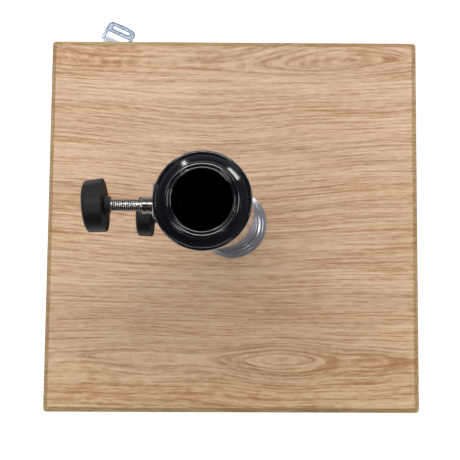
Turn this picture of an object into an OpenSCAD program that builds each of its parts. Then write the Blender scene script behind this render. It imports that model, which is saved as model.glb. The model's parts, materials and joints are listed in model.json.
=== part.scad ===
// Square pole stand: a bevelled board carries a bright tube, and two
// thumbscrews clamp a pole that drops in through nested reducer sleeves.
// Z = 0 is the floor. The tube stands on the Z axis and both screws point
// to -X. A buckle on a short webbing tab swings out past the +Y edge.

/* [Board] */
// Side of the square board
board_w = 400; // [300:10:600]
// Thickness of the board
board_t = 28; // [20:1:45]
// Bevel along the upper edges
edge_bevel = 5.5; // [1:0.5:8]
// Radius of the upright corners
corner_r = 4; // [1:0.5:20]

/* [Feet] */
// Height of a rubber foot
foot_h = 10; // [9:0.5:20]
// Radius of a rubber foot
foot_r = 14; // [11:0.5:18]
// Distance from the board's edge to a foot's centre
foot_inset = 17; // [17:1:30]
// Shank radius of a foot screw
foot_screw_r = 2; // [1.5:0.25:3]
// Length of a foot screw below its head
foot_screw_l = 16; // [12:1:18]

/* [Tube] */
// Length of the tube above the board
tube_h = 471; // [430:1:600]
// Outer radius of the tube
tube_r = 27.5; // [26.5:0.5:32]
// Wall of the tube
tube_wall = 1.5; // [1:0.25:2.5]
// Thickness of the plug welded into the tube's foot
plug_t = 12; // [8:1:20]

/* [Centre bolt] */
// Shank radius of the centre bolt
bolt_r = 4.95; // [3.95:0.5:5.95]
// Head height of the centre bolt
bolt_head_h = 6.4; // [5:0.2:8]
// Head width across the corners
bolt_head_d = 19.6; // [16:0.2:22]
// Radius of the washer under the head
washer_r = 15; // [13:0.5:18]
// Thickness of the washer
washer_t = 2.5; // [1.5:0.5:4]
// Depth of the pocket in the underside
pocket_d = 12; // [11:0.5:14]

/* [Trim ring] */
// Outer radius of the ring that covers the tube's foot
ring_r = 36.5; // [35:0.5:45]
// Height of the ring
ring_h = 9; // [6:0.5:14]
// Sheet thickness of the ring
ring_wall = 1.4; // [1:0.1:2]

/* [Collar] */
// How far the collar's rim stands out past the tube
collar_lap = 1.1; // [0.5:0.1:4]
// Height of the collar's rim
rim_h = 6; // [3:0.5:8]
// Rise of the collar from its rim to its bore
collar_rise = 2.5; // [2:0.5:8]
// Length of the collar's spigot in the tube
spigot_l = 40; // [30:1:44]
// Wall of the collar's spigot
collar_wall = 4.4; // [3:0.1:6]
// Depth and reach of the ledge at the foot of each sleeve
ledge = 1.2; // [1:0.1:1.3]

/* [Reducers] */
// Wall of the outer reducer
outer_wall = 2.2; // [1.8:0.1:3]
// Wall of the inner reducer, whose bore takes the pole
inner_wall = 1.6; // [1.2:0.1:3]
// How far the outer reducer's lip stands above the collar
outer_lip_h = 1.8; // [1:0.2:4]
// How far the inner reducer's lip stands above the outer one
inner_lip_h = 0.6; // [0.2:0.2:3]

/* [Clamp rail] */
// Width of the rail on the tube
rail_w = 20.4; // [14:0.2:24]
// Thickness of the rail at its middle
rail_t = 1.8; // [1.2:0.2:4]
// How far the rail runs on below the lower screw
rail_tail = 30; // [15:1:60]
// Radius of a threaded boss
boss_r = 5.4; // [5:0.1:8]
// Length of a threaded boss
boss_l = 13; // [8:1:20]

/* [Clamp screws] */
// Radius of a screw's thread
screw_r = 3.92; // [3.5:0.02:4.2]
// Length of a screw from its hub to its tip
screw_l = 38; // [36:1:46]
// Distance from the collar's spigot down to the upper screw
upper_drop = 16; // [10:1:60]
// Height of the lower screw above the board
lower_z = 213; // [120:1:300]
// Bare thread between the upper hub and its boss
upper_gap = 20; // [16:0.5:22]
// Bare thread between the lower hub and its boss
lower_gap = 14.2; // [13:0.1:20]

/* [Knobs] */
// Radius of a knob where it faces the tube
knob_r = 17; // [13:0.5:24]
// Length of a knob's rim along the screw
knob_rim_l = 11.4; // [8:0.2:18]
// How much smaller the knob is at its outer end
knob_taper = 0.7; // [0:0.1:2]
// Bulge of the knob's outer face
knob_dome = 2.6; // [1:0.1:5]
// Rounding of the knob's outer corner
knob_round = 1.25; // [1:0.25:3]
// Length of the hexagonal hub
hub_l = 3.5; // [2:0.5:8]
// Width of the hub across its corners
hub_d = 11.6; // [10.4:0.2:16]

/* [Tip pads] */
// Radius of a tip pad
pad_r = 3.6; // [3:0.1:3.8]
// Length of a tip pad
pad_l = 6.5; // [5:0.5:10]
// Depth of the pad's socket
socket_d = 3; // [2:0.5:4]

/* [Strap] */
// Width of the webbing
web_w = 25; // [20:1:26]
// Thickness of one layer of webbing
web_t = 1.2; // [0.8:0.1:1.4]
// Distance from the swivel screw to the buckle's hinge bar
web_l = 50; // [40:1:70]
// Turn of the strap from square to the edge
web_turn = 25; // [0:1:30]
// How far the hinge bar lies outside the board's edge
bar_out = 5.5; // [4:0.1:12]
// Distance from the board's side to the middle of the hinge bar
bar_side = 64.4; // [64:0.1:120]
// Radius of the eyelet's hole
eyelet_r = 3.2; // [2.6:0.1:4]
// Radius of the swivel screw's head
strap_head_r = 6; // [5.5:0.1:8]

/* [Buckle] */
// Width of the buckle
buckle_w = 33; // [32:0.5:40]
// Width of the outer and middle bars of the buckle
bar_w = 4.2; // [2.4:0.1:5]
// Width of the arms beside the webbing
arm_w = 3.1; // [2.4:0.1:3.3]
// Thickness of the buckle's plate
buckle_t = 2.6; // [2:0.1:3]
// Slot beside the outer bar
slot_w = 3.8; // [2.5:0.1:5]
// Length of that slot
slot_l = 21; // [18:0.5:24]
// Opening beside the hinge bar
opening_w = 6.7; // [4.6:0.1:8]
// How far the buckle droops towards the floor
buckle_droop = 5; // [0:1:12]

/* [Hidden] */
$fn = 96;

// Running clearance of a turning or sliding fit
run_gap = 0.06;
// Clearance of parts that are lifted out by hand
lift_gap = 0.1;
// Clearance round parts that only pass through
pass_gap = 0.5;
// End clearance of moving parts that seat on one another
seat_gap = 0.3;
// Gap between the trim ring and the tube
lip_gap = 0.2;
// Extra length of a cut past the faces that it opens
cut = 1;

under_z = foot_h;
top_z = foot_h + board_t;
tube_top_z = top_z + tube_h;
tube_bore_r = tube_r - tube_wall;
rim_top_z = tube_top_z + rim_h;
collar_top_z = rim_top_z + collar_rise;
outer_top_z = collar_top_z + outer_lip_h;
inner_top_z = outer_top_z + inner_lip_h;
spigot_z = tube_top_z - spigot_l;
upper_z = tube_h - spigot_l - upper_drop;

// Radii of the nested sleeves, from the tube's bore inwards
spigot_r = tube_bore_r - lift_gap;
collar_bore_r = spigot_r - collar_wall;
outer_r = collar_bore_r - lift_gap;
outer_bore_r = outer_r - outer_wall;
inner_r = outer_bore_r - lift_gap;
pole_bore_r = inner_r - inner_wall;

// Distances from the tube's axis along the screws
rail_x = tube_r + rail_t;
boss_x = rail_x + boss_l;
screw_bore_r = screw_r + run_gap;
dog_r = screw_r * 0.64;
// How deep a screw is moulded into its knob, from the hub's end
knob_grip = hub_l + knob_rim_l - 2;

// Height of the heads of the foot screws and the swivel screw
head_h = 2;

// Strap: the eyelet's height over both layers of webbing, and the height of
// the webbing's middle plane, which the hinge bar shares
eyelet_lip = 0.3;
eyelet_h = 2 * (web_t + eyelet_lip);
strap_washer_t = 1.6;
bar_pin_r = 1.2;
loop_r = bar_pin_r + run_gap;
bar_z = under_z - strap_washer_t - seat_gap - eyelet_h / 2;
strap_x = bar_side - board_w / 2 - web_l * sin(web_turn);
strap_y = board_w / 2 + bar_out - web_l * cos(web_turn);
eyelet_rim = 2;
// Pilot radius and grip of the swivel screw in the board
strap_pilot_r = 2.2;
strap_grip = 12;
bar_pitch = bar_w + slot_w;
buckle_reach = opening_w + bar_w / 2 + bar_pitch + bar_w;

// Points of a quarter turn, with radius r, from angle a to angle b
function arc(r, a, b, steps) =
    [for (i = [0:steps]) let (t = a + (b - a) * i / steps) [r * cos(t), r * sin(t)]];

// The same points moved by offset v
function moved(points, v) = [for (p = points) p + v];

// Turns what stands on Z so that it points to -X
module along_x() { rotate([0, -90, 0]) children(); }

// A ring about the Z axis
module ring(r_out, r_in, h) {
    difference() {
        cylinder(r = r_out, h = h);
        translate([0, 0, -cut]) cylinder(r = r_in, h = h + 2 * cut);
    }
}

module at_feet() {
    reach = board_w / 2 - foot_inset;
    for (x = [-reach, reach], y = [-reach, reach]) translate([x, y, 0]) children();
}

// Outline of a plate from y_low to y_high, with round corners at each end
module round_plate(w, y_low, y_high, r_low, r_high) {
    difference() {
        translate([-w / 2, y_low]) square([w, y_high - y_low]);
        for (side = [-1, 1]) {
            round_corner(side * (w / 2 - r_low), y_low + r_low, side, -1, r_low);
            round_corner(side * (w / 2 - r_high), y_high - r_high, side, 1, r_high);
        }
    }
}

// What a round corner of radius r about [x, y] takes off
module round_corner(x, y, side, end, r) {
    translate([x, y]) difference() {
        translate([side * r, end * r]) square(2 * r, center = true);
        circle(r);
    }
}

// Section of the board with both upper edges bevelled
module bevelled_section() {
    half = board_w / 2;
    polygon([[-half, 0], [half, 0], [half, board_t - edge_bevel],
        [half - edge_bevel, board_t], [-half + edge_bevel, board_t],
        [-half, board_t - edge_bevel]]);
}

module board() {
    pocket_room = 2;
    color("burlywood") difference() {
        translate([0, 0, under_z]) intersection() {
            linear_extrude(board_t)
                round_plate(board_w, -board_w / 2, board_w / 2, corner_r, corner_r);
            rotate([90, 0, 0]) linear_extrude(board_w, center = true) bevelled_section();
            rotate([90, 0, 90]) linear_extrude(board_w, center = true) bevelled_section();
        }
        translate([0, 0, under_z - cut]) cylinder(r = bolt_r + pass_gap, h = board_t + 2 * cut);
        translate([0, 0, under_z - cut]) cylinder(r = washer_r + pocket_room, h = pocket_d + cut);
        translate([0, 0, under_z - cut]) at_feet()
            cylinder(r = foot_screw_r, h = foot_screw_l - foot_h / 2 + cut);
        translate([strap_x, strap_y, under_z - cut]) cylinder(r = strap_pilot_r, h = strap_grip + cut);
    }
}

module rubber_feet() {
    foot_edge = 1.5;
    head_room = 0.4;
    color("dimgray") at_feet() difference() {
        union() {
            cylinder(r1 = foot_r - foot_edge, r2 = foot_r, h = foot_edge);
            translate([0, 0, foot_edge]) cylinder(r = foot_r, h = foot_h - foot_edge);
        }
        translate([0, 0, -cut]) cylinder(r = foot_screw_r + lift_gap, h = foot_h + 2 * cut);
        translate([0, 0, -cut])
            cylinder(r = 2 * foot_screw_r + head_room, h = foot_h / 2 + cut);
    }
}

module foot_screws() {
    color("silver") at_feet() translate([0, 0, foot_h / 2]) {
        translate([0, 0, -head_h]) difference() {
            cylinder(r = 2 * foot_screw_r, h = head_h);
            cross_recess(foot_screw_r);
        }
        cylinder(r = foot_screw_r, h = foot_screw_l);
    }
}

// Cross recess that is cut into a screw head from below
module cross_recess(size) {
    for (turn = [0, 90]) rotate(turn)
        translate([-size, -size * 0.15, -cut]) cube([2 * size, size * 0.3, cut + head_h / 2]);
}

module centre_bolt() {
    seat_z = under_z + pocket_d - washer_t;
    end_z = top_z + plug_t - 2;
    color("silver") {
        translate([0, 0, seat_z - bolt_head_h])
            cylinder(d = bolt_head_d, h = bolt_head_h, $fn = 6);
        translate([0, 0, seat_z]) cylinder(r = bolt_r, h = end_z - seat_z);
    }
}

module bolt_washer() {
    color("gainsboro") translate([0, 0, under_z + pocket_d - washer_t])
        ring(washer_r, bolt_r + pass_gap, washer_t);
}

module tube() {
    color("lightsteelblue") difference() {
        translate([0, 0, top_z]) ring(tube_r, tube_bore_r, tube_h);
        for (z = [upper_z, lower_z]) translate([0, 0, top_z + z])
            along_x() cylinder(r = screw_bore_r, h = tube_r + cut);
    }
}

module tube_plug() {
    color("gray") translate([0, 0, top_z]) ring(tube_bore_r, bolt_r + run_gap, plug_t);
}

module trim_ring() {
    bore_r = tube_r + lip_gap;
    span = ring_r - bore_r - ring_wall;
    rise = ring_h - ring_wall;
    // Quarter ellipse from the rim up to the tube, and the same set in by the sheet
    outer = [for (i = [0:16]) let (a = 90 * i / 16)
        [bore_r + ring_wall + span * cos(a), ring_wall + rise * sin(a)]];
    inner = [for (i = [16:-1:0]) let (a = 90 * i / 16)
        [bore_r + ring_wall + (span - ring_wall) * cos(a), rise * sin(a)]];
    color("lightgray") translate([0, 0, top_z]) rotate_extrude()
        polygon(concat([[ring_r, 0]], outer, [[bore_r, ring_h], [bore_r, rise]], inner));
}

module clamp_rail() {
    low_z = top_z + lower_z - rail_tail;
    high_z = tube_top_z - pass_gap;
    color("silver") difference() {
        translate([-rail_x, -rail_w / 2, low_z]) cube([rail_x, rail_w, high_z - low_z]);
        translate([0, 0, low_z - cut]) cylinder(r = tube_r, h = high_z - low_z + 2 * cut);
        for (z = [upper_z, lower_z]) translate([0, 0, top_z + z])
            along_x() cylinder(r = screw_bore_r, h = rail_x + cut);
    }
}

// Threaded boss whose turned groove marks off its outer collar
module boss(z) {
    groove_l = 1;
    collar_l = 3.2;
    color("silver") translate([-rail_x, 0, top_z + z]) along_x() difference() {
        cylinder(r = boss_r, h = boss_l);
        translate([0, 0, -cut]) cylinder(r = screw_bore_r, h = boss_l + 2 * cut);
        translate([0, 0, boss_l - collar_l - groove_l]) ring(boss_r + cut, boss_r - 0.5, groove_l);
    }
}

module upper_boss() { boss(upper_z); }

module lower_boss() { boss(lower_z); }

module collar() {
    rim_r = tube_r + collar_lap;
    groove = 0.6;
    step = 1.8;
    slope_r = rim_r - step;
    crown_r = collar_bore_r + groove;
    // From the rim's edge, over a fine groove, up the slope to the bore
    color("black") translate([0, 0, tube_top_z]) rotate_extrude()
        polygon(concat(
            [[spigot_r, 0], [spigot_r, -spigot_l],
            [collar_bore_r - ledge, -spigot_l], [collar_bore_r - ledge, ledge - spigot_l],
            [collar_bore_r, ledge - spigot_l], [collar_bore_r, rim_h + collar_rise - groove]],
            moved(arc(groove, 180, 90, 6), [crown_r, rim_h + collar_rise - groove]),
            [[slope_r - groove, rim_h], [slope_r - groove, rim_h - groove],
            [slope_r, rim_h - groove], [slope_r + groove / 2, rim_h]],
            moved(arc(groove, 90, 0, 6), [rim_r - groove, rim_h - groove]),
            [[rim_r, 0]]));
}

// Sleeve with a ledge inside its foot and a rounded lip at its head
module sleeve(r_out, r_in, z_low, z_high, ledge_in) {
    wall = r_out - r_in;
    edge = wall / 2 - 0.1;
    translate([0, 0, z_low]) rotate_extrude()
        polygon(concat(
            [[r_in - ledge_in, 0], [r_out, 0]],
            moved(arc(edge, 0, 90, 6), [r_out - edge, z_high - z_low - edge]),
            moved(arc(edge, 90, 180, 6), [r_in + edge, z_high - z_low - edge]),
            ledge_in > 0 ? [[r_in, ledge], [r_in - ledge_in, ledge]] : []));
}

module outer_reducer() {
    color("black") sleeve(outer_r, outer_bore_r, spigot_z + ledge + seat_gap, outer_top_z, ledge);
}

module inner_reducer() {
    color("#151518")
        sleeve(inner_r, pole_bore_r, spigot_z + 2 * (ledge + seat_gap), inner_top_z, 0);
}

// Stud with a smooth dog point that its pad turns on
module screw(z, gap) {
    color("silver") translate([-boss_x - gap, 0, top_z + z]) {
        along_x() cylinder(r = screw_r, h = knob_grip);
        translate([screw_l, 0, 0]) along_x() cylinder(r = screw_r, h = screw_l);
        translate([screw_l + socket_d - seat_gap, 0, 0]) along_x()
            cylinder(r = dog_r, h = socket_d + cut);
    }
}

module upper_screw() { screw(upper_z, upper_gap); }

module lower_screw() { screw(lower_z, lower_gap); }

// Knob turned about its screw: tapered rim, bulging face, hexagonal hub
module knob(z, gap) {
    face_r = knob_r - knob_taper;
    back_edge = 0.8;
    color("#1b1b1d") translate([-boss_x - gap, 0, top_z + z]) along_x() difference() {
        union() {
            cylinder(d = hub_d, h = hub_l + 1, $fn = 6);
            translate([0, 0, hub_l]) rotate_extrude()
                polygon(concat(
                    [[0, 0]],
                    moved(arc(back_edge, -90, 0, 5), [knob_r - back_edge, back_edge]),
                    moved(arc(knob_round, 0, 60, 6), [face_r - knob_round, knob_rim_l - knob_round]),
                    [for (i = [1:10]) let (a = 90 * i / 10, w = face_r - knob_round / 2)
                        [w * cos(a), knob_rim_l - knob_round * (1 - sin(60)) + knob_dome * sin(a)]]));
        }
        translate([0, 0, -cut]) cylinder(r = screw_r, h = knob_grip + cut);
    }
}

module upper_knob() { knob(upper_z, upper_gap); }

module lower_knob() { knob(lower_z, lower_gap); }

// Pad that turns on the screw's point and bears on the pole
module tip_pad(z, gap) {
    tip_x = -boss_x - gap + screw_l;
    nose = 0.6;
    color("#26262a") translate([tip_x + pad_l, 0, top_z + z]) along_x() difference() {
        union() {
            translate([0, 0, nose]) cylinder(r = pad_r, h = pad_l - nose - seat_gap);
            cylinder(r1 = pad_r - nose, r2 = pad_r, h = nose);
        }
        translate([0, 0, pad_l - socket_d]) cylinder(r = dog_r + run_gap, h = socket_d + cut);
    }
}

module upper_tip_pad() { tip_pad(upper_z, upper_gap); }

module lower_tip_pad() { tip_pad(lower_z, lower_gap); }

// Places the strap's parts, which point along +Y from the swivel screw
module at_strap() {
    translate([strap_x, strap_y, bar_z]) rotate(-web_turn) children();
}

module strap_screw() {
    low_z = bar_z - eyelet_h / 2 - seat_gap - head_h;
    color("silver") translate([strap_x, strap_y, low_z]) {
        difference() {
            cylinder(r = strap_head_r, h = head_h);
            cross_recess(strap_head_r * 0.45);
        }
        cylinder(r = eyelet_r - run_gap, h = under_z - low_z);
        translate([0, 0, under_z - low_z]) cylinder(r = strap_pilot_r, h = strap_grip);
    }
}

module strap_washer() {
    color("gainsboro") translate([strap_x, strap_y, under_z - strap_washer_t])
        ring(strap_head_r + 1.5, eyelet_r - run_gap, strap_washer_t);
}

module strap_eyelet() {
    color("goldenrod") translate([strap_x, strap_y, bar_z - eyelet_h / 2])
        ring(eyelet_r + eyelet_rim, eyelet_r, eyelet_h);
}

module webbing_tab() {
    eye_r = eyelet_r + eyelet_rim;
    tail = web_w / 2 - 2;
    color("whitesmoke") at_strap() difference() {
        rotate([90, 0, 90]) linear_extrude(web_w, center = true) difference() {
            union() {
                translate([-tail, -web_t]) square([web_l + tail, 2 * web_t]);
                translate([web_l, 0]) circle(loop_r + web_t);
            }
            translate([web_l, 0]) circle(loop_r);
        }
        translate([0, 0, -2 * web_t]) cylinder(r = eye_r, h = 4 * web_t);
    }
}

// Strap buckle that hangs by a round bar in the loop of the webbing
module buckle() {
    corner = 5;
    arm_end = bar_pin_r + 1;
    inner_w = buckle_w - 2 * arm_w;
    color("lightsteelblue") at_strap() translate([0, web_l, 0]) rotate([-buckle_droop, 0, 0]) {
        translate([-inner_w / 2 - cut, 0, 0]) rotate([0, 90, 0])
            cylinder(r = bar_pin_r, h = inner_w + 2 * cut);
        translate([0, 0, -buckle_t / 2]) linear_extrude(buckle_t) difference() {
            round_plate(buckle_w, -arm_end, buckle_reach, 1, corner);
            translate([-inner_w / 2, -arm_end - cut])
                square([inner_w, arm_end + cut + bar_w / 2 + opening_w]);
            round_plate(slot_l, buckle_reach - bar_w - slot_w, buckle_reach - bar_w,
                slot_w * 0.45, slot_w * 0.45);
        }
    }
}

board();
rubber_feet();
foot_screws();
centre_bolt();
bolt_washer();
tube();
tube_plug();
trim_ring();
clamp_rail();
upper_boss();
lower_boss();
collar();
outer_reducer();
inner_reducer();
upper_screw();
upper_knob();
upper_tip_pad();
lower_screw();
lower_knob();
lower_tip_pad();
strap_screw();
strap_washer();
strap_eyelet();
webbing_tab();
buckle();
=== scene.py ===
import json
import math

import bmesh
import bpy
import numpy as np
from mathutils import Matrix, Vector


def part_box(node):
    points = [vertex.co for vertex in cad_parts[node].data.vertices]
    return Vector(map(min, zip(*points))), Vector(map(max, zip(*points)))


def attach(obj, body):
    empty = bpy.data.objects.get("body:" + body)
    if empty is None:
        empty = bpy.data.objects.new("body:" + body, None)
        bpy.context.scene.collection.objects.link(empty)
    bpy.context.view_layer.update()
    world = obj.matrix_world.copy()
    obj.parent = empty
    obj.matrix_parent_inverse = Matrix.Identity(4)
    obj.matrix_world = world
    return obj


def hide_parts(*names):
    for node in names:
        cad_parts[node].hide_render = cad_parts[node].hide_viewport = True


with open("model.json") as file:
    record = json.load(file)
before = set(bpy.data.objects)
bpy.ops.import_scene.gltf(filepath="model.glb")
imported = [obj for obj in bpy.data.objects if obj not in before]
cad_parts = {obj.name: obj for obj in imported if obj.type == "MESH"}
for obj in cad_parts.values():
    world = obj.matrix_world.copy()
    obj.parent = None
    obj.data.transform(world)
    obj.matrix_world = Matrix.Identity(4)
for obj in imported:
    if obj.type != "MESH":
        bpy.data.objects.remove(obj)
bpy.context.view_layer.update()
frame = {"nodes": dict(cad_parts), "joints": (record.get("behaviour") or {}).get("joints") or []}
nodes = frame["nodes"]
joints = {joint["name"]: joint for joint in frame["joints"]}
mm = 0.001
# Facets round a turned piece
facets = {"large": 192, "knob": 144, "boss": 96, "small": 72, "eye": 64, "cutter": 48}


# Lengths given in millimetres
def inMm(**lengths):
    return {key: length * mm for key, length in lengths.items()}


def span(node):
    low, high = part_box(node)
    return np.array(low), np.array(high)


def middle(node):
    return sum(span(node)) / 2


# Turns points from +Z to -X
def pointMinusX(points):
    return np.stack([-points[..., 2], points[..., 1], points[..., 0]], -1)


# Turns points about Z, in radians
def turnZ(points, angle):
    c, s = math.cos(angle), math.sin(angle)
    x, y = points[..., 0], points[..., 1]
    return np.stack([c * x - s * y, s * x + c * y, points[..., 2]], -1)


# Turns points about X, in radians
def turnX(points, angle):
    return np.roll(turnZ(np.roll(points, -1, -1), angle), 1, -1)


def newObject(name, data):
    thing = bpy.data.objects.new(name, data)
    bpy.context.scene.collection.objects.link(thing)
    return thing


# A grid of points becomes quads. Rows and columns can close on themselves, and open
# rows can be capped by one face.
def gridPiece(name, points, closeRows=False, closeColumns=True, capped=False, uv=None):
    rows, columns = points.shape[:2]
    row = np.arange(rows if closeRows else rows - 1)[:, None]
    column = np.arange(columns if closeColumns else columns - 1)[None, :]
    nextRow, nextColumn = (row + 1) % rows, (column + 1) % columns
    corners = [(row, column), (row, nextColumn), (nextRow, nextColumn), (nextRow, column)]
    quads = np.stack([r * columns + c for r, c in corners], -1)
    faces = quads.reshape(-1, 4).tolist()
    if capped:
        faces.append(list(range(columns))[::-1])
        faces.append(list(range((rows - 1) * columns, rows * columns)))
    mesh = bpy.data.meshes.new(name)
    mesh.from_pydata(points.reshape(-1, 3).tolist(), [], faces)
    if uv is not None:
        corner = np.zeros(len(mesh.loops), int)
        mesh.loops.foreach_get("vertex_index", corner)
        layer = mesh.uv_layers.new(name="along")
        layer.data.foreach_set("uv", uv.reshape(-1, 2)[corner].ravel())
    # Points that fall together become one
    work = bmesh.new()
    work.from_mesh(mesh)
    bmesh.ops.remove_doubles(work, verts=work.verts, dist=1e-7)
    work.to_mesh(mesh)
    work.free()
    return newObject(name, mesh)


def shadeSmooth(piece, sharpAngle=38):
    mesh = piece.data
    mesh.shade_smooth()
    mesh.set_sharp_from_angle(angle=math.radians(sharpAngle))
    mesh.update()


# A polygon of (radius, height, fillet) corners with each corner rounded: an arc of the
# fillet's radius that touches both sides, with a guard point just before and after it
def filleted(corners, closed=True, steps=6, guardShare=0.04):
    place = np.array([c[:2] for c in corners], float)
    fillet = np.array([c[2] if len(c) > 2 else 0 for c in corners], float)
    out = []
    for i, point in enumerate(place):
        if fillet[i] == 0 or (not closed and i in (0, len(place) - 1)):
            out.append(point[None])
            continue
        before, after = place[i - 1] - point, place[(i + 1) % len(place)] - point
        before, after = before / np.linalg.norm(before), after / np.linalg.norm(after)
        half = math.acos(np.clip(before @ after, -1, 1)) / 2
        reach = fillet[i] / math.tan(half)
        centre = point + (before + after) / np.linalg.norm(before + after) * fillet[i] / math.sin(half)
        start, end = point + before * reach - centre, point + after * reach - centre
        turn = math.atan2(start[0] * end[1] - start[1] * end[0], start @ end)
        angle = np.linspace(0, turn, steps + 1)[:, None]
        side = np.array([-start[1], start[0]])
        arc = centre + start * np.cos(angle) + side * np.sin(angle)
        guard = guardShare * fillet[i]
        out.append(np.vstack([arc[:1] + before * guard, arc, arc[-1:] + after * guard]))
    return np.vstack(out)


# A profile of (radius, height) turned about Z: x = r cos a, y = r sin a, z = h
def turned(name, profile, closed=True, count=facets["large"], place=(0, 0, 0), toMinusX=False):
    angle = np.linspace(0, 2 * np.pi, count, endpoint=False)
    radius, height = profile[:, :1], profile[:, 1:2]
    points = np.stack([radius * np.cos(angle), radius * np.sin(angle), height + 0 * angle], -1)
    if toMinusX:
        points = pointMinusX(points)
    piece = gridPiece(name, points + np.array(place), closeRows=closed)
    shadeSmooth(piece)
    return piece


# The mesh with its modifiers worked in
def settle(piece):
    depsgraph = bpy.context.evaluated_depsgraph_get()
    mesh = bpy.data.meshes.new_from_object(piece.evaluated_get(depsgraph))
    piece.modifiers.clear()
    piece.data = mesh


# Cuts other pieces from a piece, or unites them with it, and drops the tools
def combine(piece, tools, operation="DIFFERENCE"):
    for tool in tools:
        cut = piece.modifiers.new("cut", "BOOLEAN")
        cut.operation, cut.object, cut.solver = operation, tool, "EXACT"
    settle(piece)
    for tool in tools:
        bpy.data.objects.remove(tool)


# Pieces of one part become one mesh
def join(name, parts):
    whole = bmesh.new()
    for part in parts:
        whole.from_mesh(part.data)
        bpy.data.objects.remove(part)
    mesh = bpy.data.meshes.new(name)
    whole.to_mesh(mesh)
    whole.free()
    return newObject(name, mesh)


# A piece takes its place on a body, its finish and the node that it stands for
def fit(piece, body, finish, stoodFor):
    piece.data.materials.clear()
    piece.data.materials.append(finishes[finish])
    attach(piece, body)
    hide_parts(stoodFor)


def put(tree, kind, **settings):
    node = tree.nodes.new("ShaderNode" + kind)
    for key, value in settings.items():
        setattr(node, key, value)
    return node


def feed(tree, socket, value):
    if isinstance(value, bpy.types.NodeSocket):
        tree.links.new(value, socket)
    else:
        socket.default_value = value


# Feeds sockets in their order
def feedAll(tree, node, values):
    for socket, value in zip(node.inputs, values):
        feed(tree, socket, value)
    return node.outputs


# Feeds sockets by name, with _ for a space
def feedNamed(tree, node, **values):
    for label, value in values.items():
        feed(tree, node.inputs[label.replace("_", " ")], value)
    return node.outputs


def calc(tree, operation, *values, clamp=False):
    return feedAll(tree, put(tree, "Math", operation=operation, use_clamp=clamp), values)[0]


def times(tree, one, two):
    return calc(tree, "MULTIPLY", one, two)


def vectorCalc(tree, operation, *values):
    return feedAll(tree, put(tree, "VectorMath", operation=operation), values)


def splitAxes(tree, vector):
    return feedAll(tree, put(tree, "SeparateXYZ"), [vector])


def bundle(tree, *parts):
    return feedAll(tree, put(tree, "CombineXYZ"), parts)[0]


# A value with each part added as often as its weight says
def addUp(tree, value, parts):
    for part, weight in parts:
        value = calc(tree, "MULTIPLY_ADD", part, weight, value)
    return value


def stretch(tree, vector, scale, location=(0, 0, 0)):
    return feedNamed(tree, put(tree, "Mapping"), Vector=vector, Scale=scale, Location=location)[0]


def noise(tree, vector, scale=1.0, detail=2.0, roughness=0.5):
    return feedNamed(
        tree, put(tree, "TexNoise"), Vector=vector, Scale=scale, Detail=detail, Roughness=roughness)["Fac"]


def between(tree, value, low, high, outLow=0.0, outHigh=1.0):
    node = put(tree, "MapRange", interpolation_type="SMOOTHSTEP")
    return feedAll(tree, node, (value, low, high, outLow, outHigh))[0]


def ramp(tree, value, stops):
    node = put(tree, "ValToRGB")
    feed(tree, node.inputs[0], value)
    band = node.color_ramp
    while len(band.elements) < len(stops):
        band.elements.new(0.5)
    for element, (place, colour) in zip(band.elements, stops):
        element.position, element.color = place, (*colour, 1)
    return node.outputs[0]


def blendColour(tree, factor, one, two, mode="MIX"):
    node = put(tree, "Mix", data_type="RGBA", blend_type=mode)
    feed(tree, node.inputs[0], factor)
    for socket, value in ((node.inputs[6], one), (node.inputs[7], two)):
        feed(tree, socket, (*value, 1) if isinstance(value, tuple) else value)
    return node.outputs[2]


def dress(tree, shader, colour, rough, height, strength, distance, **rest):
    bump = feedNamed(tree, put(tree, "Bump"), Height=height, Strength=strength, Distance=distance)[0]
    feedNamed(tree, shader, Base_Color=colour, Roughness=rough, Normal=bump, **rest)


def pointOn(tree):
    return put(tree, "TexCoord").outputs["Object"]


# How far a face looks up, from -1 to 1
def upward(tree):
    return splitAxes(tree, put(tree, "TexCoord").outputs["Normal"])[2]


# A node group with one output. An input without a default is a vector.
def newGroup(name, output, **inputs):
    tree = bpy.data.node_groups.new(name, "ShaderNodeTree")
    for label, default in inputs.items():
        kind = "Vector" if default is None else "Float"
        socket = tree.interface.new_socket(label, in_out="INPUT", socket_type="NodeSocket" + kind)
        if default is not None:
            socket.default_value = default
    tree.interface.new_socket(output, in_out="OUTPUT", socket_type="NodeSocketFloat")
    return tree, tree.nodes.new("NodeGroupInput").outputs, tree.nodes.new("NodeGroupOutput").inputs[0]


def useGroup(tree, group, **values):
    return feedNamed(tree, put(tree, "Group", node_tree=group), **values)[0]


def newMaterial(name, colour, roughness, **values):
    material = bpy.data.materials.new(name)
    material.use_nodes = True
    tree = material.node_tree
    shader = tree.nodes["Principled BSDF"]
    feedNamed(tree, shader, Base_Color=(*colour, 1), Roughness=roughness, **values)
    return material, tree, shader


# Soft handling marks: clouds of two sizes, 1 where fingers have been
def makeSmudge():
    tree, given, out = newGroup("smudge", "Mask", Vector=None, Size=40.0)
    wide = noise(tree, given["Vector"], given["Size"], 3.0, 0.55)
    fine = noise(tree, given["Vector"], times(tree, given["Size"], 7.0), 4.0, 0.6)
    mixed = calc(tree, "ADD", times(tree, wide, 0.65), times(tree, fine, 0.35))
    feed(tree, out, between(tree, mixed, 0.36, 0.66))
    return tree


# Fine parallel lines left by brushing: noise drawn out by the stretch of its vector
def makeBrushed():
    tree, given, out = newGroup("brushed", "Line", Vector=None, Stretch=None)
    drawn = vectorCalc(tree, "MULTIPLY", given["Vector"], given["Stretch"])[0]
    feed(tree, out, noise(tree, drawn, 1.0, 4.0, 0.62))
    return tree


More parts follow.
